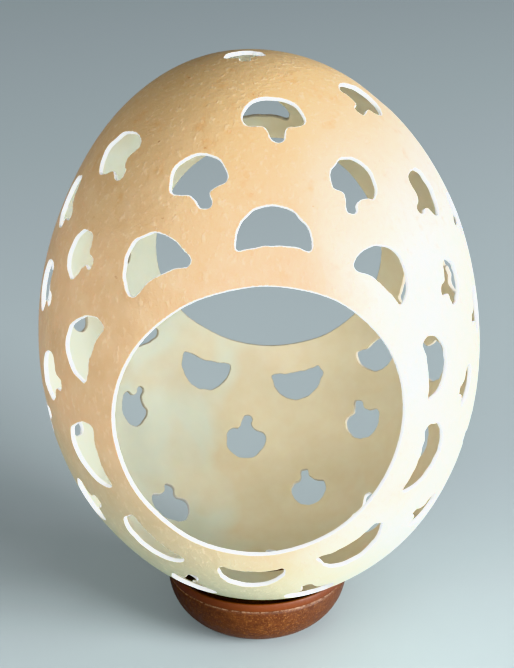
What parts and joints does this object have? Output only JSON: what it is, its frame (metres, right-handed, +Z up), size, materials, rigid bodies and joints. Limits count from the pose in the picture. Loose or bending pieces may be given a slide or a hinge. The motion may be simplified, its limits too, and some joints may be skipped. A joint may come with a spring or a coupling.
{
  "type": "carved chicken egg on a stand",
  "caption": "Blown hen's eggshell pierced with two round windows and rings of small cut-outs, standing in a small turned wooden cup.",
  "frame": {"origin": "middle of the cup's flat foot, on the surface that it stands on", "axes": "+Z up; -Y towards the larger window, the front; the egg's top leans 2.3 degrees towards -X"},
  "size_m": [0.044, 0.0398, 0.0612],
  "materials": {
    "eggshell": "thin tan eggshell with fine pores and white cut edges, satin",
    "stand": "red-brown turned wood, waxed and a little dusty"
  },
  "bodies": {
    "root": {"eggshell": "eggshell", "stand": "stand"}
  },
  "joints": []
}
